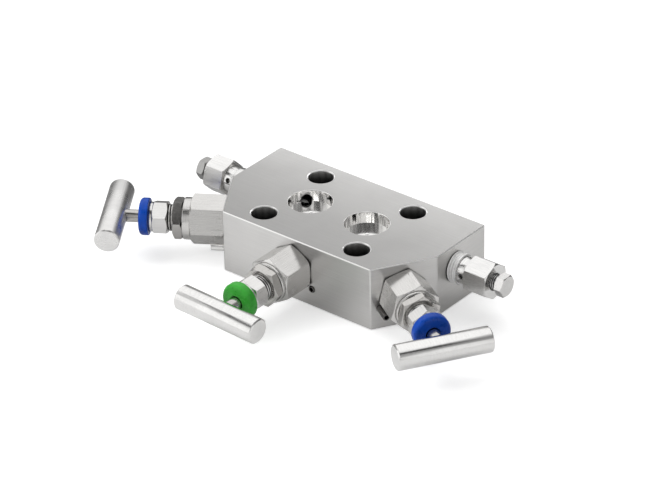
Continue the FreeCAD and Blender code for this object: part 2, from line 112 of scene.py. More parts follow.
# Stains and fine unevenness: spots per metre, levels of detail, and how strong the finer ones
# are. Then how much of the fine ones is added to the block's relief, and of the mottle to the
# plastic's.
BLOCK_STAINS = (38.0, 4.0, 0.6)
BLOCK_FINE = (900.0, 3.0, 0.6)
TURNED_STAINS = (120.0, 3.0, 0.6)
RINGS_WANDER = (60.0, 2.0)
PLASTIC_MOTTLE = (260.0, 3.0, 0.6)
PLASTIC_FINE = (2600.0, 2.0, 0.6)
TAPE_WRINKLES = (700.0, 4.0, 0.65)
PACKING_STAINS = (500.0, 3.0, 0.6)
FLOOR_STAINS = (3.0, 2.0)
BLOCK_FINE_SHARE = 0.35
PLASTIC_MOTTLE_SHARE = 2.0

# How much darker and lighter than its colour a surface is from mark to mark. For the steels,
# also between which levels stains grow from none to their full share, and how dark they are.
BLOCK_SHADES = (0.95, 1.06)
TURNED_SHADES = (0.93, 1.06)
PLASTIC_SHADES = (0.86, 1.16)
TAPE_SHADES = (0.90, 1.05)
FLOOR_SHADES = (0.995, 1.005)
BLOCK_STAINED = (0.45, 0.75, 0.0, 0.30)
BLOCK_STAIN_SHADE = 0.88
TURNED_STAINED = (0.5, 0.8, 0.0, 0.22)
TURNED_STAIN_SHADE = 0.82

# Roughness from the smoothest spots to the roughest, and what the steels' marks and stains
# add to it. Then how far highlights stretch across the grain, and the plastic's shine.
BLOCK_ROUGHNESS = (0.30, 0.37)
POCKET_ROUGHNESS = (0.09, 0.14)
PLASTIC_ROUGHNESS = (0.24, 0.34)
TAPE_ROUGHNESS = (0.35, 0.5)
PACKING_ROUGHNESS = (0.5, 0.65)
FLOOR_ROUGHNESS = 0.8
TURNED_ROUGH = 0.20
BLOCK_MARKS_ADD = (-0.03, 0.04)
TURNED_MARKS_ADD = (-0.03, 0.03)
SMOOTH_STAIN = 0.03
ROUGH_STAIN = 0.05
BLOCK_STRETCH = 0.5
TURNED_STRETCH = 0.6
PLASTIC_SHINE = 0.24

# Painted shade in corners, gaps and holes: how far from a corner it reaches, in millimetres, and
# its darkest tone. Then the painted shade down a bore and at a thread's roots, how open the
# darkest and the unshaded corners are, and how many rays test that.
BLOCK_CORNER_SHADE = (1.1, 0.25)
BLOCK_HOLE_SHADE = (14.0, 0.12)
PIECE_CORNER_SHADE = (1.3, 0.10)
THREAD_CORNER_SHADE = (0.5, 0.10)
TAPE_CORNER_SHADE = (0.8, 0.35)
BORE_SHADE = 0.06
THREAD_ROOT_SHADE = 0.04
CORNER_OPENNESS = (0.25, 0.80)
CORNER_SAMPLES = 8

# How far up or down the block's surface looks, from 0 to 1: where it turns from slanted to
# flat, and where a rounded edge with a painted highlight begins and ends.
FLAT_RISE = (0.93, 0.98)
EDGE_BEGINS = (0.10, 0.30)
EDGE_ENDS = (0.85, 0.95)

# Where the block's pockets, drilled bores and bolt holes are told apart, in millimetres:
# depths below the top face, then distances beyond the radius of a pocket or a bolt hole.
POCKET_RIM_DEPTH = 0.3
BORE_RIM_DEPTH = 0.6
ONLY_BORES_DEPTH = 6.0
BORE_LOWEST_DEPTH = 25.0
POCKET_MARGIN = 0.1
BORE_MARGIN = 0.08
BORE_REACH = 6.5
BORE_FADE = 0.5
BOLT_HOLE_MARGIN = 0.4

# Heights of the flats along each kind of hexagon's axis, in millimetres, and how nearly a face
# must look sideways to be one.
BONNET_FLATS = (0.5, 16.6)
NUT_FLATS = (0.5, 60.0)
VENT_FLATS = (9.9, 21.0)
SIDEWAYS = 0.25

# The turned steels: colour and roughness, and for those with flats also how far highlights
# stretch and where the flats are. The left valve's handle is more brushed than the others, and
# its lock pin is bright.
VALVE_STEELS = {"bonnet": (BONNET_STEEL, 0.24, 0.4, BONNET_FLATS),
                "nut": (NUT_STEEL, 0.17, TURNED_STRETCH, NUT_FLATS),
                "adjuster": (TURNED_STEEL, 0.15, TURNED_STRETCH, NUT_FLATS),
                "stem": (NUT_STEEL, 0.14),
                "dark": (DARK_STEEL, 0.32)}
VENT_BODY_STEEL = (POLISHED_STEEL, 0.18, TURNED_STRETCH, VENT_FLATS)
HANDLE_ROUGH = 0.19
BRUSHED_ROUGH = 0.28
HANDLE_STRETCH = 0.85
PIN_ROUGH = 0.16

# Bare threads on the packing adjusters and the bleed screws, in millimetres: radii of neck
# and crest, and pitch. Then how far the bleed screws travel and how much of their thread stays
# hidden, how far roots stand off the neck, and how far ends run into the pieces beside them.
ADJUSTER_NECK_R = 6.05
ADJUSTER_CREST_R = 6.45
ADJUSTER_PITCH = 1.25
BLEED_NECK_R = 3.2
BLEED_CREST_R = 3.55
BLEED_PITCH = 1.0
BLEED_TRAVEL = 2.0
BLEED_HIDDEN = 1.5
ROOT_LIFT = 0.02
HIDDEN = 0.3

# The share of a thread's slope that is cut off flat at its roots, and again at its crests, and
# the radii between which each thread's painted shade fades from darkest at the roots to none.
THREAD_FLAT_SHARE = 0.12
ADJUSTER_ROOT_SHADE = (ADJUSTER_NECK_R + 0.1, ADJUSTER_CREST_R - 0.1)
BLEED_ROOT_SHADE = (BLEED_NECK_R + 0.14, BLEED_CREST_R - 0.04)

# The sealing tape, in millimetres: pitch and height of the ridges that the pipe thread makes in
# it, height of its wrinkles, how much slimmer it starts, its thickness, how far it goes on
# beyond the CAD's band, and how far its outer edge strays.
PIPE_THREAD_PITCH = 1.411
TAPE_RIDGE = 0.6
TAPE_WRINKLE = 0.07
TAPE_TAPER = 0.15
TAPE_THICKNESS = 0.6
TAPE_BEYOND = 0.15
TAPE_STRAY = 0.22

# How close the tape's wrinkles lie round it and along it, how much closer and weaker the finer
# ones are, how close the bends of its edge lie, and where in the noise the edge is taken from.
WRINKLES_ROUND = 3.0
WRINKLES_ALONG = 1.6
FINER_WRINKLES = 2.7
FINER_SHARE = 0.5
EDGE_BENDS = 1.7
EDGE_PATTERN = 9.0

# Rounded edges of the block, and of each valve's and vent's pieces, in millimetres. Corners
# flatter than the angle, in degrees, stay as they are, and points closer together than the
# weld are joined first.
BLOCK_EDGE = 0.32
VALVE_EDGES = {"bonnet": 0.15, "lock_nut": 0.12, "packing_adjuster": 0.12, "dust_cap": 0.1, "stem": 0.1,
               "handle_bar": 0.15, "handle_set_screw": 0.08, "bonnet_lock_pin": 0.1,
               "gland_washers": 0.05, "packing_rings": 0.05, "ball_tip": 0.05}
VENT_EDGES = {"body": 0.12, "bleed_screw": 0.1}
EDGE_ANGLE = 32.0
EDGE_SEGMENTS = 2
WELD_MM = 0.002

# The floor: half its width and how far it lies under the block, in metres, and where painted
# shade makes it darker behind the object. It glows for the camera, and hardly at all in the metal.
FLOOR_HALF = 12.0
FLOOR_GAP = 0.0002
FLOOR_DARKER_TOWARDS = -150
FLOOR_DARKER_FROM = 0.015
FLOOR_DARKER_TO = 0.075
FLOOR_GLOW = 0.48
FLOOR_GLOW_BEHIND = 1.0
FLOOR_GLOW_IN_METAL = 0.02

# The studio tent: its light behind and in front of the object, where its front faces, and the
# cosines between which it changes. Then round patches of light as azimuth, elevation, half
# width and soft edge in degrees, with their brightness.
TENT_BACK = 0.10
TENT_FRONT = 0.36
TENT_FACING = (10, 30)
TENT_CHANGE = (-0.6, 0.5)
SOFTBOXES = ((-128, 66, 37, 22, 1.20), (-34, 17, 18, 12, 1.30), (20, 14, 14, 12, 0.7),
             (80, 9, 18, 12, 1.0), (22, 34, 7, 6, 1.0))

# The dark gap between the overhead and the front softboxes: where it faces, its lowest and
# highest elevation, its soft edge, how far it reaches round and fades there, as cosines, and
# its light.
GAP_AZIMUTH = 17
GAP_LOW, GAP_HIGH, GAP_EDGE = 48, 61, 3
GAP_REACH = 0.02
GAP_FADE = 0.12
GAP_LIGHT = 0.06

# The soft lamps, as azimuth, elevation, distance, size and power, and where they are aimed.
LAMPS = {"key": (-112, 56, 1.6, 1.1, 6.0), "front_left": (-38, 30, 1.8, 0.7, 13.0)}
LAMP_AIM = Vector((0, 0, -0.02))

# The strip lamp behind the block: its sides, power, and how far back and out it stands.
STRIP_SIZE = (0.36, 0.06)
STRIP_POWER = 0.16
STRIP_BEHIND = 0.082
STRIP_DISTANCE = 0.12

# The camera, solved from the photograph: where it looks from, its shift to the left and down
# in metres, and its lens and sensor width in millimetres. Then the nearest and farthest it
# sees, in metres.
CAMERA_AZIMUTH = 39.41
CAMERA_ELEVATION = 30.859
CAMERA_ROLL = -1.164
CAMERA_DISTANCE = 1.582025
CAMERA_SIDE_STEP = 0.003893
CAMERA_UP_STEP = 0.016087
CAMERA_LENS = 189.0
CAMERA_SENSOR = 36.0
CAMERA_SEES = (0.05, 60.0)


# Directions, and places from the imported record

def heading(azimuth, elevation):
    """Unit vector for a direction in degrees: azimuth 0 is -Y and 90 is +X."""
    turn, rise = math.radians(azimuth), math.radians(elevation)
    return Vector((math.sin(turn) * math.cos(rise), -math.cos(turn) * math.cos(rise), math.sin(rise)))


def mount_of(name):
    """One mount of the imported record."""
    return next(mount for mount in RECORD["mounts"] if mount["name"] == name)


def joint_of(name):
    """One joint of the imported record."""
    return next(joint for joint in frame["joints"] if joint["name"] == name)


def axis_frame(name):
    """A valve's or vent's origin on its axis, with its across, upright and outward directions."""
    joint = joint_of(name + "_turn")
    outward = Vector(joint["axis"]).normalized()
    across = UP.cross(outward).normalized()
    return Vector(joint["pos_m"]), across, UP.copy(), outward


def bar_frame(valve, axes):
    """A handle bar's middle and directions, the last one along the bar."""
    _, across, _, outward = axes
    low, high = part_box(valve + "_handle_bar")
    middle = (low + high) / 2
    vertices = NODES[valve + "_handle_bar"].data.vertices
    far_point = max((v.co for v in vertices), key=lambda co: abs((co - middle).dot(across)))
    tilt = far_point - middle
    tilt -= outward * tilt.dot(outward)
    bar_axis = tilt.normalized()
    return middle, outward, bar_axis.cross(outward).normalized(), bar_axis


def span(node, axes, beyond=0.0):
    """Lowest and highest point of a node along an axis, of what lies beyond a radius."""
    origin, _, _, outward = axes
    heights = []
    for vertex in NODES[node].data.vertices:
        offset = vertex.co - origin
        height = offset.dot(outward)
        if (offset - outward * height).length >= beyond * MM:
            heights.append(height / MM)
    return min(heights), max(heights)


BOLT_X = mount_of("instrument_bolts")["dims"]["spacing_x_mm"] / 2
BOLT_Y = mount_of("instrument_bolts")["dims"]["spacing_y_mm"] / 2
BOLT_HOLE_R = mount_of("instrument_bolts")["dims"]["hole_r_mm"]
POCKET_X = mount_of("seal_pocket_right")["pos_m"][0] / MM
POCKET_R = mount_of("seal_pocket_right")["dims"]["r_mm"]


# Node helpers

class Nodes:
    """A node tree with short ways to add and join nodes."""

    def __init__(self, tree):
        self.tree = tree
        tree.nodes.clear()

    def add(self, kind):
        return self.tree.nodes.new(kind)

    def link(self, start, end):
        self.tree.links.new(start, end)

    def put(self, socket, value):
        """Join a socket to another one or give it a plain value."""
        if isinstance(value, bpy.types.NodeSocket):
            self.link(value, socket)
        else:
            socket.default_value = value

    def maths(self, operation, first, second=0.0):
        node = self.add("ShaderNodeMath")
        node.operation = operation
        self.put(node.inputs[0], first)
        self.put(node.inputs[1], second)
        return node.outputs[0]

    def vector_maths(self, operation, first, second=(0, 0, 0)):
        node = self.add("ShaderNodeVectorMath")
        node.operation = operation
        self.put(node.inputs[0], first)
        self.put(node.inputs[1], second)
        scalar = operation in ("DOT_PRODUCT", "LENGTH")
        return node.outputs["Value" if scalar else "Vector"]

    def split(self, vector):
        node = self.add("ShaderNodeSeparateXYZ")
        self.put(node.inputs[0], vector)
        return node.outputs[0], node.outputs[1], node.outputs[2]

    def join(self, x, y, z):
        node = self.add("ShaderNodeCombineXYZ")
        for socket, value in zip(node.inputs, (x, y, z)):
            self.put(socket, value)
        return node.outputs[0]

    def noise(self, vector, scale=1.0, detail=2.0, roughness=0.5):
        node = self.add("ShaderNodeTexNoise")
        self.put(node.inputs["Vector"], vector)
        node.inputs["Scale"].default_value = scale
        node.inputs["Detail"].default_value = detail
        node.inputs["Roughness"].default_value = roughness
        return node.outputs["Fac"]

    def spread(self, value, low, high, out_low=0.0, out_high=1.0):
        """Rescale a value from one range to another, held within it."""
        node = self.add("ShaderNodeMapRange")
        self.put(node.inputs["Value"], value)
        limits = (("From Min", low), ("From Max", high), ("To Min", out_low), ("To Max", out_high))
        for name, number in limits:
            node.inputs[name].default_value = number
        return node.outputs["Result"]

    def graded(self, value, out_low=0.0, out_high=1.0):
        """Rescale a noise, most of which lies between 0.3 and 0.7."""
        return self.spread(value, 0.3, 0.7, out_low, out_high)

    def mix(self, share, first, second):
        node = self.add("ShaderNodeMix")
        node.data_type = "FLOAT"
        for index, value in ((0, share), (2, first), (3, second)):
            self.put(node.inputs[index], value)
        return node.outputs[0]

    def mix_colour(self, share, first, second):
        node = self.add("ShaderNodeMix")
        node.data_type = "RGBA"
        self.put(node.inputs[0], share)
        for index, value in ((6, first), (7, second)):
            if isinstance(value, tuple):
                value = (*value, 1.0)
            self.put(node.inputs[index], value)
        return node.outputs[2]

    def mix_vector(self, share, first, second):
        node = self.add("ShaderNodeMix")
        node.data_type = "VECTOR"
        self.put(node.inputs[0], share)
        self.put(node.inputs[4], first)
        self.put(node.inputs[5], second)
        return node.outputs[1]

    def painted_corner_shade(self, reach, darkest):
        """Painted shade: darkens narrow gaps and inner corners, the more the less open they are."""
        node = self.add("ShaderNodeAmbientOcclusion")
        node.samples = CORNER_SAMPLES
        node.inputs["Distance"].default_value = reach * MM
        return self.spread(node.outputs["AO"], *CORNER_OPENNESS, darkest, 1.0)

    def bump(self, height, depth):
        """Surface relief that is as deep as the given millimetres."""
        node = self.add("ShaderNodeBump")
        node.inputs["Strength"].default_value = 1.0
        node.inputs["Distance"].default_value = depth * MM
        self.link(height, node.inputs["Height"])
        return node.outputs["Normal"]


class Shader(Nodes):
    """A material that works from a surface's place and direction."""

    def __init__(self, name):
        self.material = bpy.data.materials.new(name)
        self.material.use_nodes = True
        super().__init__(self.material.node_tree)
        self.bsdf = self.add("ShaderNodeBsdfPrincipled")
        output = self.add("ShaderNodeOutputMaterial")
        self.link(self.bsdf.outputs["BSDF"], output.inputs["Surface"])
        place = self.add("ShaderNodeTexCoord")
        self.place = place.outputs["Object"]
        self.normal = place.outputs["Normal"]

    def local(self, origin, across, upright, outward):
        """Place along a piece's own axes, in millimetres, and the surface's direction there."""
        from_origin = self.vector_maths("SUBTRACT", self.place, tuple(origin))
        places = [self.vector_maths("DOT_PRODUCT", from_origin, tuple(axis / MM))
                  for axis in (across, upright, outward)]
        facing = self.vector_maths("DOT_PRODUCT", self.normal, tuple(outward))
        return places, facing

    def shaded(self, tone, factor):
        """A colour node darkened by a factor."""
        return self.vector_maths("MULTIPLY", tone, self.join(factor, factor, factor))

    def marked(self, marks, colour, shades):
        """A colour with darker and lighter marks."""
        darker, lighter = shades
        return self.mix_colour(self.graded(marks), tinted(colour, darker), tinted(colour, lighter))

    def finish(self, colour, roughness, metallic=1.0, normal=None, **constants):
        """Join colour, roughness and relief to the surface, and set its other constants."""
        self.put(self.bsdf.inputs["Base Color"], colour)
        self.put(self.bsdf.inputs["Roughness"], roughness)
        self.bsdf.inputs["Metallic"].default_value = metallic
        if normal is not None:
            self.link(normal, self.bsdf.inputs["Normal"])
        for name, value in constants.items():
            self.bsdf.inputs[name.replace("_", " ")].default_value = value
        return self.material


def tinted(colour, factor):
    """A colour made lighter or darker."""
    return tuple(min(1.0, part * factor) for part in colour)


# Materials

def block_places(shader, x, y, z):
    """Distance and direction from a pocket's axis, then the pockets, what is near them and all
    the holes that get painted shade, as shares that are 1 inside."""
    pocket_x = shader.maths("SUBTRACT", shader.maths("ABSOLUTE", x), POCKET_X)
    from_pocket = shader.vector_maths("LENGTH", shader.join(pocket_x, y, 0.0))
    outwards = shader.join(shader.maths("MULTIPLY", pocket_x, shader.maths("SIGN", x)), y, 0.0)
    bolt_x = shader.maths("SUBTRACT", shader.maths("ABSOLUTE", x), BOLT_X)
    bolt_y = shader.maths("SUBTRACT", shader.maths("ABSOLUTE", y), BOLT_Y)
    from_bolt = shader.vector_maths("LENGTH", shader.join(bolt_x, bolt_y, 0.0))
    in_pocket = shader.maths("MULTIPLY", shader.maths("LESS_THAN", from_pocket, POCKET_R + POCKET_MARGIN),
                             shader.maths("LESS_THAN", z, -POCKET_RIM_DEPTH))
    at_depth = shader.maths("MULTIPLY", shader.maths("LESS_THAN", z, -BORE_RIM_DEPTH),
                            shader.maths("GREATER_THAN", z, -BORE_LOWEST_DEPTH))
    near_pocket = shader.maths("MULTIPLY", at_depth,
                               shader.maths("LESS_THAN", from_pocket, POCKET_R + BORE_REACH))
    beyond_wall = shader.maths("MAXIMUM", shader.maths("GREATER_THAN", from_pocket, POCKET_R + BORE_MARGIN),
                               shader.maths("LESS_THAN", z, -ONLY_BORES_DEPTH))
    in_shaded_hole = shader.maths("MAXIMUM", shader.maths("LESS_THAN", from_bolt, BOLT_HOLE_R + BOLT_HOLE_MARGIN),
                           shader.maths("MULTIPLY", near_pocket, beyond_wall))
    return from_pocket, outwards, in_pocket, near_pocket, in_shaded_hole


def block_grain(shader, in_mm, x, y, z, from_pocket, in_pocket, flat):
    """The block's machining marks: lines along its top and sides, rings on its pocket floors."""
    along_top = shader.join(shader.maths("MULTIPLY", x, GRAIN_ALONG),
                            shader.maths("MULTIPLY", y, GRAIN_ACROSS_TOP), z)
    along_side = shader.vector_maths("MULTIPLY", in_mm, (GRAIN_ALONG, GRAIN_ALONG, GRAIN_ACROSS_SIDE))
    round_pocket = shader.join(shader.maths("MULTIPLY", from_pocket, POCKET_RINGS), 0.5, 0.5)
    grain_top = shader.noise(along_top, detail=3.0, roughness=0.65)
    grain_side = shader.noise(along_side, detail=3.0, roughness=0.65)
    rings = shader.noise(round_pocket, detail=2.0, roughness=0.6)
    return shader.mix(flat, grain_side, shader.mix(in_pocket, grain_top, rings))


def block_material():
    """Machined block: grain along the faces, rings on the pocket floors, soft stains, a painted
    highlight on its edges, and painted shade on its top, in its corners and in its holes."""
    shader = Shader("block_machined_steel")
    in_mm = shader.vector_maths("MULTIPLY", shader.place, (1 / MM, 1 / MM, 1 / MM))
    x, y, z = shader.split(in_mm)
    _, _, upward = shader.split(shader.normal)
    rise = shader.maths("ABSOLUTE", upward)
    flat = shader.spread(rise, *FLAT_RISE)
    painted_highlight_edge = shader.maths("MULTIPLY", shader.spread(rise, *EDGE_BEGINS),
                           shader.spread(rise, *EDGE_ENDS, 1.0, 0.0))
    from_pocket, outwards, in_pocket, near_pocket, in_shaded_hole = block_places(shader, x, y, z)
    grain = block_grain(shader, in_mm, x, y, z, from_pocket, in_pocket, flat)
    stains = shader.noise(shader.place, *BLOCK_STAINS)
    fine = shader.noise(shader.place, *BLOCK_FINE)

    tone = shader.marked(grain, BLOCK_STEEL, BLOCK_SHADES)
    stained = shader.spread(stains, *BLOCK_STAINED)
    tone = shader.mix_colour(stained, tone, tinted(BLOCK_STEEL, BLOCK_STAIN_SHADE))
    # Painted shade: the block's top face is made darker than its sides.
    tone = shader.shaded(tone, shader.mix(flat, 1.0, BLOCK_TOP_SHADE))
    tone = shader.mix_colour(in_pocket, tone, POLISHED_STEEL)
    # Painted highlight: the rounded edges are made near white.
    tone = shader.mix_colour(painted_highlight_edge, tone, EDGE_HIGHLIGHT)
    # Painted shade in the block's corners outside the pockets.
    tone = shader.shaded(tone, shader.mix(in_pocket, shader.painted_corner_shade(*BLOCK_CORNER_SHADE), 1.0))
    # Painted shade in the holes, and darker still down the bores.
    tone = shader.shaded(tone, shader.mix(in_shaded_hole, 1.0, shader.painted_corner_shade(*BLOCK_HOLE_SHADE)))
    painted_bore_shade = shader.spread(from_pocket, POCKET_R, POCKET_R + BORE_FADE, 1.0, BORE_SHADE)
    tone = shader.shaded(tone, shader.mix(near_pocket, 1.0, painted_bore_shade))

    rough = shader.maths("ADD", shader.graded(stains, *BLOCK_ROUGHNESS),
                         shader.graded(grain, *BLOCK_MARKS_ADD))
    rough = shader.mix(in_pocket, rough, shader.graded(grain, *POCKET_ROUGHNESS))
    lying = shader.mix_vector(in_pocket, (0, 1, 0), shader.vector_maths("NORMALIZE", outwards))
    shader.link(shader.mix_vector(flat, (0, 0, 1), lying), shader.bsdf.inputs["Tangent"])
    height = shader.maths("ADD", grain, shader.maths("MULTIPLY", fine, BLOCK_FINE_SHARE))
    height = shader.maths("MULTIPLY", height, shader.mix(in_pocket, 1.0, POCKET_MARKS_SHARE))
    return shader.finish(tone, rough, 1.0, shader.bump(height, BLOCK_MARKS), Anisotropic=BLOCK_STRETCH)


def turned_material(name, axes, colour=TURNED_STEEL, rough=TURNED_ROUGH, stretch=TURNED_STRETCH,
                    flats=None, marks=TURNED_MARKS, thread=None):
    """Turned steel: fine rings about the axis; drawn grain along the flats between two heights.
    Highlights stretch across the grain. Corners get painted shade, and so do a thread's roots, between two radii."""
    shader = Shader(name)
    (across, upright, along), facing = shader.local(*axes)
    from_axis = shader.vector_maths("SUBTRACT", shader.place, tuple(axes[0]))
    sideways = shader.vector_maths("CROSS_PRODUCT", tuple(axes[3]), from_axis)
    around = shader.vector_maths("NORMALIZE", sideways)
    tangent = shader.vector_maths("CROSS_PRODUCT", around, shader.normal)
    radius = shader.maths("SQRT", shader.maths("ADD", shader.maths("MULTIPLY", across, across),
                                               shader.maths("MULTIPLY", upright, upright)))
    wander = shader.noise(shader.place, *RINGS_WANDER)
    in_rings = shader.join(shader.maths("MULTIPLY", along, TURNED_RINGS),
                           shader.maths("MULTIPLY", radius, TURNED_RINGS), wander)
    grain = shader.noise(in_rings, detail=3.0, roughness=0.6)
    if flats:
        along_flat = shader.join(shader.maths("MULTIPLY", across, DRAWN_ACROSS),
                                 shader.maths("MULTIPLY", upright, DRAWN_ACROSS),
                                 shader.maths("MULTIPLY", along, DRAWN_ALONG))
        drawn = shader.noise(along_flat, detail=3.0, roughness=0.6)
        looks_aside = shader.maths("LESS_THAN", shader.maths("ABSOLUTE", facing), SIDEWAYS)
        between = shader.maths("MULTIPLY", shader.maths("GREATER_THAN", along, flats[0]),
                               shader.maths("LESS_THAN", along, flats[1]))
        on_flat = shader.maths("MULTIPLY", looks_aside, between)
        grain = shader.mix(on_flat, grain, drawn)
        tangent = shader.mix_vector(on_flat, tangent, around)
    stains = shader.noise(shader.place, *TURNED_STAINS)
    tone = shader.marked(grain, colour, TURNED_SHADES)
    stained = shader.spread(stains, *TURNED_STAINED)
    tone = shader.mix_colour(stained, tone, tinted(colour, TURNED_STAIN_SHADE))
    # Painted shade in corners and in gaps between pieces.
    tone = shader.shaded(tone, shader.painted_corner_shade(*(THREAD_CORNER_SHADE if thread else PIECE_CORNER_SHADE)))
    # Painted shade at a thread's roots.
    if thread:
        tone = shader.shaded(tone, shader.spread(radius, *thread, THREAD_ROOT_SHADE, 1.0))
    roughness = shader.maths("ADD", shader.graded(stains, rough - SMOOTH_STAIN, rough + ROUGH_STAIN),
                             shader.graded(grain, *TURNED_MARKS_ADD))
    shader.link(tangent, shader.bsdf.inputs["Tangent"])
    return shader.finish(tone, roughness, 1.0, shader.bump(grain, marks), Anisotropic=stretch)


def thread_material(name, axes, root_shade):
    """Turned steel for a bare thread, with painted shade below the first radius and none beyond the
    second."""
    return turned_material(name, axes, marks=THREAD_MARKS, thread=root_shade)


def plastic_material(name, colour):
    """Moulded plastic with faint mottling and fine surface grain."""
    shader = Shader(name)
    mottle = shader.noise(shader.place, *PLASTIC_MOTTLE)
    fine = shader.noise(shader.place, *PLASTIC_FINE)
    tone = shader.marked(mottle, colour, PLASTIC_SHADES)
    rough = shader.graded(mottle, *PLASTIC_ROUGHNESS)
    height = shader.maths("ADD", fine, shader.maths("MULTIPLY", mottle, PLASTIC_MOTTLE_SHARE))
    return shader.finish(tone, rough, 0.0, shader.bump(height, PLASTIC_MARKS),
                         Specular_IOR_Level=PLASTIC_SHINE)


def tape_material():
    """White sealing tape with wrinkled laps."""
    shader = Shader("sealing_tape_white")
    wrinkles = shader.noise(shader.place, *TAPE_WRINKLES)
    tone = shader.marked(wrinkles, TAPE_WHITE, TAPE_SHADES)
    # Painted shade in the tape's folds and where it meets the steel.
    tone = shader.shaded(tone, shader.painted_corner_shade(*TAPE_CORNER_SHADE))
    rough = shader.graded(wrinkles, *TAPE_ROUGHNESS)
    return shader.finish(tone, rough, 0.0, shader.bump(wrinkles, TAPE_MARKS))


def packing_material():
    """Dull white packing, pressed and slightly marked."""
    shader = Shader("packing_white")
    marks = shader.noise(shader.place, *PACKING_STAINS)
    tone = shader.mix_colour(shader.graded(marks), PACKING_DULL, PACKING_PALE)
    rough = shader.graded(marks, *PACKING_ROUGHNESS)
    return shader.finish(tone, rough, 0.0, shader.bump(marks, PACKING_MARKS))


# Meshes

def new_piece(name, vertices, faces, material, body, slot):
    """A mesh piece that rides on a body."""
    mesh = bpy.data.meshes.new(name)
    mesh.from_pydata([tuple(v) for v in vertices], [], faces)
    mesh.validate()
    mesh.update()
    mesh.polygons.foreach_set("use_smooth", [True] * len(mesh.polygons))
    piece = bpy.data.objects.new(name, mesh)
    bpy.context.scene.collection.objects.link(piece)
    mesh.materials.append(material)
    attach(piece, body)
    return piece


def sleeve(axes, start, end, inner_r, surface_r, edge=None, steps_round=96, step_along=0.12):
    """Closed ring-shaped mesh about an axis. Its outer radius is given at each height and
    angle, and its outer end may be uneven."""
    origin, across, upright, outward = axes
    rows = max(2, int(math.ceil((end - start) / step_along)))
    rings = [(0, False)] + [(row / rows, True) for row in range(rows + 1)] + [(1, False)]
    vertices = []
    for share, outer in rings:
        for step in range(steps_round):
            angle = 2 * math.pi * step / steps_round
            reach = end - start + (edge(angle) if edge else 0.0)
            height = start + reach * share
            radius = surface_r(height, angle) if outer else inner_r
            direction = across * math.cos(angle) + upright * math.sin(angle)
            vertices.append(origin + (outward * height + direction * radius) * MM)
    faces = []
    count = len(rings)
    for ring in range(count):
        following = (ring + 1) % count
        for step in range(steps_round):
            after = (step + 1) % steps_round
            faces.append((ring * steps_round + step, ring * steps_round + after,
                          following * steps_round + after, following * steps_round + step))
    return vertices, faces


def thread_surface(root_r, crest_r, pitch):
    """Radius of a right-hand thread with flattened roots and crests."""
    def radius(height, angle):
        phase = (height / pitch - angle / (2 * math.pi)) % 1.0
        ridge = 1.0 - abs(2.0 * phase - 1.0)
        ridge = (ridge - THREAD_FLAT_SHARE) / (1.0 - 2.0 * THREAD_FLAT_SHARE)
        return root_r + (crest_r - root_r) * min(1.0, max(0.0, ridge))
    return radius


def tape_surface(start, start_r, end, end_r):
    """Radius of tape wound tightly over a tapered thread: soft ridges and small wrinkles."""
    def radius(height, angle):
        taper_r = start_r + (end_r - start_r) * (height - start) / (end - start)
        ridge = 0.5 + 0.5 * math.cos(2 * math.pi * height / PIPE_THREAD_PITCH - angle)
        place = Vector((math.cos(angle) * WRINKLES_ROUND, math.sin(angle) * WRINKLES_ROUND,
                        height * WRINKLES_ALONG))
        wrinkle = noise.noise(place) + FINER_SHARE * noise.noise(place * FINER_WRINKLES)
        return taper_r + TAPE_RIDGE * (ridge - 0.5) + TAPE_WRINKLE * wrinkle
    return radius


def tape_edge(angle):
    """How far the tape's outer edge strays."""
    place = Vector((math.cos(angle) * EDGE_BENDS, math.sin(angle) * EDGE_BENDS, EDGE_PATTERN))
    return TAPE_STRAY * noise.noise(place)


# Dressing the nodes

def dress(node, material):
    """Give a CAD node its material."""
    slots = NODES[node].data.materials
    slots.clear()
    slots.append(material)
    NODES[node].data.polygons.foreach_set("material_index", [0] * len(NODES[node].data.polygons))


def soften(node, width):
    """Small rounded edges that catch the light."""
    piece = NODES[node]
    weld = piece.modifiers.new("weld", "WELD")
    weld.merge_threshold = WELD_MM * MM
    bevel = piece.modifiers.new("edges", "BEVEL")
    bevel.width = width * MM
    bevel.segments = EDGE_SEGMENTS
    bevel.limit_method = "ANGLE"
    bevel.angle_limit = math.radians(EDGE_ANGLE)
    bevel.harden_normals = True
    bevel.use_clamp_overlap = True


def dress_valve(valve, plastic, packing):
    """One valve's pieces."""
    axes = axis_frame(valve)
    steels = {}
    for kind, look in VALVE_STEELS.items():
        steels[kind] = turned_material(valve + "_" + kind + "_steel", axes, *look)
    is_left = valve == "isolate_left"
    handle_steel = turned_material(valve + "_handle_steel", bar_frame(valve, axes), POLISHED_STEEL,
                                   BRUSHED_ROUGH if is_left else HANDLE_ROUGH, HANDLE_STRETCH)
    pin_steel = turned_material(valve + "_pin_steel", axes,
                                POLISHED_STEEL if is_left else PIN_STEEL, PIN_ROUGH)
    materials = {"bonnet": steels["bonnet"], "lock_nut": steels["nut"],
                 "packing_adjuster": steels["adjuster"], "dust_cap": plastic,
                 "stem": steels["stem"], "handle_bar": handle_steel,
                 "handle_set_screw": steels["dark"], "bonnet_lock_pin": pin_steel,
                 "gland_washers": steels["nut"], "packing_rings": packing, "ball_tip": steels["stem"]}
    for piece, material in materials.items():
        dress(valve + "_" + piece, material)
        soften(valve + "_" + piece, VALVE_EDGES[piece])


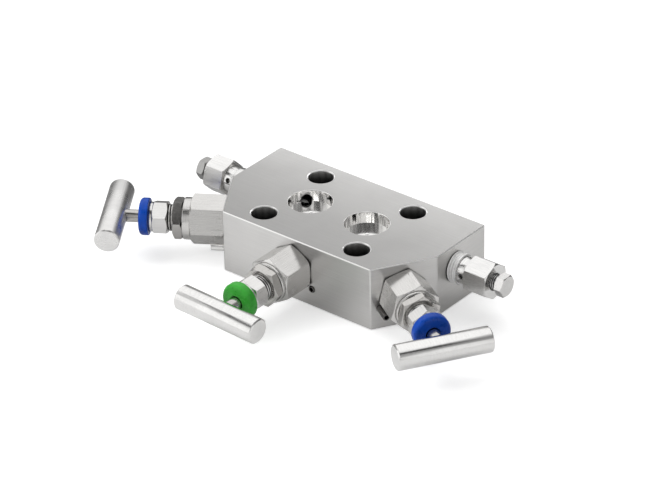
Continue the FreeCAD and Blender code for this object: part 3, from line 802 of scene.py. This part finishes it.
def add_adjuster_thread(valve):
    """The bare thread between a valve's lock nut and its packing adjuster's hexagon."""
    axes = axis_frame(valve)
    nut_top = span(valve + "_lock_nut", axes)[1]
    hexagon_start = span(valve + "_packing_adjuster", axes, ADJUSTER_CREST_R)[0]
    surface = thread_surface(ADJUSTER_NECK_R + ROOT_LIFT, ADJUSTER_CREST_R, ADJUSTER_PITCH)
    thread = sleeve(axes, nut_top - HIDDEN, hexagon_start + HIDDEN, ADJUSTER_NECK_R - HIDDEN, surface)
    steel = thread_material(valve + "_thread_steel", axes, ADJUSTER_ROOT_SHADE)
    new_piece(valve + "_adjuster_thread", *thread, steel, "block", "turned_steel")


def dress_vent(vent):
    """One vent's pieces."""
    axes = axis_frame(vent)
    screw_colour = WORN_STEEL if vent == "vent_left" else TURNED_STEEL
    screw_steel = turned_material(vent + "_screw_steel", axes, screw_colour)
    dress(vent + "_body", turned_material(vent + "_body_steel", axes, *VENT_BODY_STEEL))
    dress(vent + "_ball", screw_steel)
    dress(vent + "_bleed_screw", screw_steel)
    for piece, edge in VENT_EDGES.items():
        soften(vent + "_" + piece, edge)


def add_bleed_thread(vent):
    """A bleed screw's thread, which comes out with the screw."""
    axes = axis_frame(vent)
    mouth = span(vent + "_body", axes)[1]
    head_start = span(vent + "_bleed_screw", axes, BLEED_CREST_R)[0]
    surface = thread_surface(BLEED_NECK_R + ROOT_LIFT, BLEED_CREST_R, BLEED_PITCH)
    thread = sleeve(axes, mouth - BLEED_HIDDEN - BLEED_TRAVEL, head_start + HIDDEN, BLEED_NECK_R - HIDDEN,
                    surface, step_along=0.1)
    steel = thread_material(vent + "_thread_steel", axes, BLEED_ROOT_SHADE)
    new_piece(vent + "_bleed_thread", *thread, steel, vent + "_screw_turn", "turned_steel")


def add_tape():
    """Wrapped sealing tape on the right vent, in place of the CAD's plain band."""
    axes = axis_frame("vent_right")
    start, end = span("vent_right_thread_tape", axes)
    points = NODES["vent_right_thread_tape"].data.vertices
    outer_r = max((v.co - axes[0]).cross(axes[3]).length for v in points) / MM
    surface = tape_surface(start, outer_r - TAPE_TAPER, end, outer_r)
    wrap = sleeve(axes, start - TAPE_BEYOND, end, outer_r - TAPE_THICKNESS, surface, tape_edge,
                  steps_round=160, step_along=0.08)
    tape = new_piece("vent_right_tape", *wrap, tape_material(), "block", "tape")
    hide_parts("vent_right_thread_tape")


# Camera

def add_camera():
    """The photograph's camera."""
    back = heading(CAMERA_AZIMUTH, CAMERA_ELEVATION)
    roll = math.radians(CAMERA_ROLL)
    level_right = UP.cross(back).normalized()
    level_up = back.cross(level_right)
    right = level_right * math.cos(roll) + level_up * math.sin(roll)
    up = level_up * math.cos(roll) - level_right * math.sin(roll)
    data = bpy.data.cameras.new("camera")
    data.lens = CAMERA_LENS
    data.sensor_width = CAMERA_SENSOR
    data.clip_start, data.clip_end = CAMERA_SEES
    camera = bpy.data.objects.new("camera", data)
    bpy.context.scene.collection.objects.link(camera)
    place = back * CAMERA_DISTANCE - right * CAMERA_SIDE_STEP - up * CAMERA_UP_STEP
    rotation = Matrix((right, up, back)).transposed()
    camera.matrix_world = Matrix.Translation(place) @ rotation.to_4x4()
    bpy.context.scene.camera = camera


# Floor, world and lamps

def floor_material():
    """White floor, with painted shade behind the object, that glows for the camera."""
    shader = Shader("floor_white")
    stains = shader.noise(shader.place, *FLOOR_STAINS)
    darker, lighter = FLOOR_SHADES
    tone = shader.mix_colour(stains, tinted(FLOOR_WHITE, darker), tinted(FLOOR_WHITE, lighter))
    # Painted shade on the floor behind the object, which the metal mirrors.
    backward = shader.vector_maths("DOT_PRODUCT", shader.place, tuple(heading(FLOOR_DARKER_TOWARDS, 0)))
    behind = shader.spread(backward, FLOOR_DARKER_FROM, FLOOR_DARKER_TO)
    tone = shader.mix_colour(behind, tone, FLOOR_SHADE_BEHIND)
    path = shader.add("ShaderNodeLightPath")
    mirrored = shader.maths("MAXIMUM", path.outputs["Is Glossy Ray"], path.outputs["Is Transmission Ray"])
    seen = shader.mix(behind, FLOOR_GLOW, FLOOR_GLOW_BEHIND)
    glow = shader.maths("ADD", shader.maths("MULTIPLY", path.outputs["Is Camera Ray"], seen),
                        shader.maths("MULTIPLY", mirrored, FLOOR_GLOW_IN_METAL))
    shader.bsdf.inputs["Emission Color"].default_value = (1, 1, 1, 1)
    shader.link(glow, shader.bsdf.inputs["Emission Strength"])
    return shader.finish(tone, FLOOR_ROUGHNESS, 0.0)


def add_floor():
    """Plain white floor under the block."""
    height = cad_low.z - FLOOR_GAP
    corners = [(x * FLOOR_HALF, y * FLOOR_HALF, height) for x, y in ((-1, -1), (1, -1), (1, 1), (-1, 1))]
    mesh = bpy.data.meshes.new("floor")
    mesh.from_pydata(corners, [], [(0, 1, 2, 3)])
    floor = bpy.data.objects.new("floor", mesh)
    bpy.context.scene.collection.objects.link(floor)
    mesh.materials.append(floor_material())


def sine(degrees):
    """Sine of an angle in degrees."""
    return math.sin(math.radians(degrees))


def cosine(degrees):
    """Cosine of an angle in degrees."""
    return math.cos(math.radians(degrees))


def add_world():
    """White for the camera; for light and reflections, a tent with softboxes and a dark gap."""
    world = bpy.data.worlds.new("studio")
    bpy.context.scene.world = world
    world.use_nodes = True
    nodes = Nodes(world.node_tree)
    direction = nodes.add("ShaderNodeTexCoord").outputs["Generated"]
    frontward = nodes.vector_maths("DOT_PRODUCT", direction, tuple(heading(*TENT_FACING)))
    light = nodes.spread(frontward, *TENT_CHANGE, TENT_BACK, TENT_FRONT)
    for azimuth, elevation, half_width, softness, brightness in SOFTBOXES:
        towards = nodes.vector_maths("DOT_PRODUCT", direction, tuple(heading(azimuth, elevation)))
        share = nodes.spread(towards, cosine(half_width + softness), cosine(half_width))
        light = nodes.mix(share, light, brightness)
    _, _, height = nodes.split(direction)
    above = nodes.spread(height, sine(GAP_LOW - GAP_EDGE), sine(GAP_LOW))
    below = nodes.spread(height, sine(GAP_HIGH), sine(GAP_HIGH + GAP_EDGE), 1.0, 0.0)
    near = nodes.vector_maths("DOT_PRODUCT", direction, tuple(heading(GAP_AZIMUTH, 0)))
    in_gap = nodes.maths("MULTIPLY", nodes.maths("MULTIPLY", above, below),
                         nodes.spread(near, GAP_REACH, GAP_REACH + GAP_FADE))
    light = nodes.mix(in_gap, light, GAP_LIGHT)
    path = nodes.add("ShaderNodeLightPath")
    light = nodes.mix(path.outputs["Is Camera Ray"], light, 1.0)
    background = nodes.add("ShaderNodeBackground")
    output = nodes.add("ShaderNodeOutputWorld")
    nodes.link(light, background.inputs["Color"])
    nodes.link(background.outputs[0], output.inputs["Surface"])


def new_lamp(name, place, rotation, sides, power):
    """Flat rectangular lamp."""
    data = bpy.data.lights.new(name, "AREA")
    data.shape = "RECTANGLE"
    data.size, data.size_y = sides
    data.energy = power
    lamp = bpy.data.objects.new(name, data)
    bpy.context.scene.collection.objects.link(lamp)
    lamp.location = place
    lamp.rotation_mode = "QUATERNION"
    lamp.rotation_quaternion = rotation
    return lamp


def add_lamp(name, azimuth, elevation, distance, size, power):
    """Soft square lamp aimed at the object. The metal doesn't mirror it."""
    place = heading(azimuth, elevation) * distance
    lamp = new_lamp(name, place, (LAMP_AIM - place).to_track_quat("-Z", "Y"), (size, size), power)
    lamp.visible_glossy = False


def add_strip():
    """Low strip lamp behind the block that shines on the block alone. The top face mirrors its
    edge softly, and so grows lighter towards the back."""
    towards = heading(CAMERA_AZIMUTH - 180, CAMERA_ELEVATION)
    along = Vector((1, 0, 0))
    along = (along - towards * along.dot(towards)).normalized()
    rotation = Matrix((along, towards.cross(along), towards)).transposed().to_quaternion()
    place = Vector((0, STRIP_BEHIND, 0)) + towards * STRIP_DISTANCE
    lamp = new_lamp("behind_strip", place, rotation, STRIP_SIZE, STRIP_POWER)
    lamp.visible_camera = False
    lit = bpy.data.collections.new("lit_by_strip")
    lit.objects.link(NODES["manifold_body"])
    lamp.light_linking.receiver_collection = lit


dress("manifold_body", block_material())
soften("manifold_body", BLOCK_EDGE)
packing_white = packing_material()
blue_plastic = plastic_material("cap_blue_plastic", CAP_BLUE)
green_plastic = plastic_material("cap_green_plastic", CAP_GREEN)
for valve in VALVES:
    dress_valve(valve, green_plastic if valve == "equalize" else blue_plastic, packing_white)
    add_adjuster_thread(valve)
for vent in VENTS:
    dress_vent(vent)
    add_bleed_thread(vent)
add_tape()

bpy.context.scene.view_settings.view_transform = "Standard"
add_camera()
add_floor()
add_world()
for name, lamp in LAMPS.items():
    add_lamp(name, *lamp)
add_strip()
